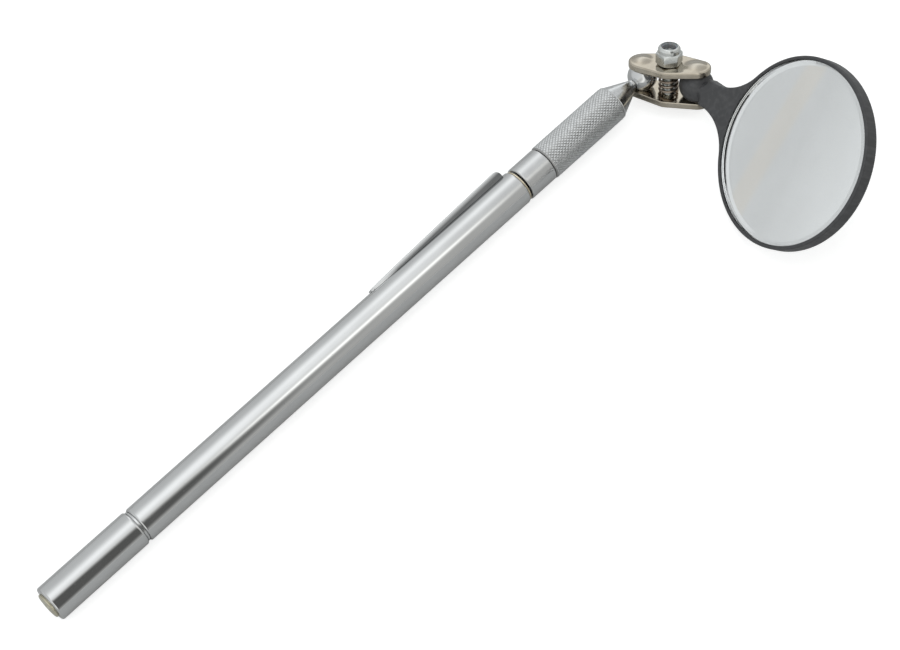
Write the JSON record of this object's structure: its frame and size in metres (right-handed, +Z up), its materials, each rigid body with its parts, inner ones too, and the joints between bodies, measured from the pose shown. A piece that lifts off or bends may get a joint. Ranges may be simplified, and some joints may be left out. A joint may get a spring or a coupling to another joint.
{
  "type": "telescoping inspection mirror",
  "caption": "Telescopic inspection mirror: round bevelled mirror in a holder on a ball-joint clamp, knurled swivel grip, tubular chrome handle with pocket clip.",
  "frame": {"origin": "middle of the bounding box in X and Y, on the surface that the mirror lies on", "axes": "+X along the handle from butt to head, +Z up, away from the surface; telescope closed"},
  "size_m": [0.257, 0.0942, 0.0427],
  "materials": {
    "chrome": "bright chrome plate, mirror polished",
    "satin_chrome": "satin chrome plate with fine turning marks",
    "knurled_chrome": "satin chrome plate over a fine diamond knurl",
    "nickel": "turned, nickel plated",
    "brass": "turned brass",
    "spring_bronze": "rolled phosphor bronze strip",
    "plate_nickel": "pressed steel, warm nickel plate, satin",
    "zinc": "zinc plated steel",
    "spring_steel": "drawn spring wire",
    "nylon": "nylon locking insert",
    "black_plastic": "moulded plastic, satin black",
    "mirror_glass": "float glass with a polished bevel",
    "silvering": "silvered back of the glass",
    "foam_tape": "double-sided foam tape"
  },
  "bodies": {
    "handle": {"handle_tube": "chrome", "end_cap": "chrome", "end_plug": "nickel", "cap_joiner": "chrome", "mouth_bush": "brass"},
    "clip": {"pocket_clip": "chrome"},
    "stage_1": {"telescope_section_1": "chrome", "friction_bush_1": "spring_bronze"},
    "stage_2": {"telescope_section_2": "chrome", "friction_bush_2": "spring_bronze"},
    "stage_3": {"telescope_section_3": "chrome", "friction_bush_3": "spring_bronze"},
    "rod_bush": {"friction_bush_4": "spring_bronze"},
    "grip": {"telescope_rod": "chrome", "sleeve_collar": "satin_chrome", "knurled_sleeve": "knurled_chrome", "ball_stud": "satin_chrome"},
    "near_ball": {"rod_ball": "chrome"},
    "clamp": {"lower_plate": "plate_nickel", "clamp_stud": "zinc", "clamp_spring": "spring_steel"},
    "clamp_top": {"upper_plate": "plate_nickel"},
    "nut_core": {"nut_insert": "nylon"},
    "nut": {"lock_nut": "zinc"},
    "far_ball": {"holder_ball": "black_plastic"},
    "holder": {"mirror_holder": "black_plastic", "mirror_glass": "mirror_glass", "silver_backing": "silvering", "adhesive_pad": "foam_tape"}
  },
  "joints": [
    {"name": "clip_spring", "type": "hinge", "parent": "handle", "child": "clip", "pos_m": [0.04983, 0.04419, 0.00918], "axis": [0.0062, 0.4384, -0.8988], "range_deg": [0, 3], "stiffness_Nm_per_rad": 4, "springref_deg": -0.57},
    {"name": "extend_1", "type": "slide", "parent": "handle", "child": "stage_1", "axis": [1, 0, 0.0069], "range_m": [0, 0.12]},
    {"name": "extend_2", "type": "slide", "parent": "stage_1", "child": "stage_2", "axis": [1, 0, 0.0069], "range_m": [0, 0.12]},
    {"name": "extend_3", "type": "slide", "parent": "stage_2", "child": "stage_3", "axis": [1, 0, 0.0069], "range_m": [0, 0.12]},
    {"name": "extend_4", "type": "slide", "parent": "stage_3", "child": "rod_bush", "axis": [1, 0, 0.0069], "range_m": [0, 0.12]},
    {"name": "grip_spin", "type": "hinge", "parent": "rod_bush", "child": "grip", "pos_m": [0.10595, 0.03924, 0.00715], "axis": [1, 0, 0.0069], "continuous": true},
    {"name": "clamp_tilt", "type": "hinge", "parent": "grip", "child": "near_ball", "pos_m": [0.10595, 0.03924, 0.00715], "axis": [0.0016, 0.972, -0.2348], "range_deg": [-37, 0]},
    {"name": "clamp_swing", "type": "hinge", "parent": "near_ball", "child": "clamp", "pos_m": [0.10595, 0.03924, 0.00715], "axis": [0.311, 0.2227, 0.924], "range_deg": [-17.7, 142.3]},
    {"name": "plate_lift", "type": "slide", "parent": "clamp", "child": "clamp_top", "axis": [0.311, 0.2227, 0.924], "range_m": [0, 0.00105]},
    {"name": "nut_travel", "type": "slide", "parent": "clamp", "child": "nut_core", "axis": [0.311, 0.2227, 0.924], "range_m": [0, 0.00105]},
    {"name": "nut_turn", "type": "hinge", "parent": "nut_core", "child": "nut", "pos_m": [0.10956, 0.0319, 0.00771], "axis": [0.311, 0.2227, 0.924], "range_deg": [0, 540]},
    {"name": "arm_swing", "type": "hinge", "parent": "clamp", "child": "far_ball", "pos_m": [0.11335, 0.0242, 0.00829], "axis": [0.311, 0.2227, 0.924], "range_deg": [-38.2, 111.8]},
    {"name": "arm_roll", "type": "hinge", "parent": "far_ball", "child": "holder", "pos_m": [0.11335, 0.0242, 0.00829], "axis": [-0.1519, -0.948, 0.2796], "continuous": true}
  ],
  "couplings": [
    {"joint": "nut_turn", "follows": "nut_travel", "rad_per_m": 8976},
    {"joint": "plate_lift", "follows": "nut_travel", "ratio": 1}
  ]
}
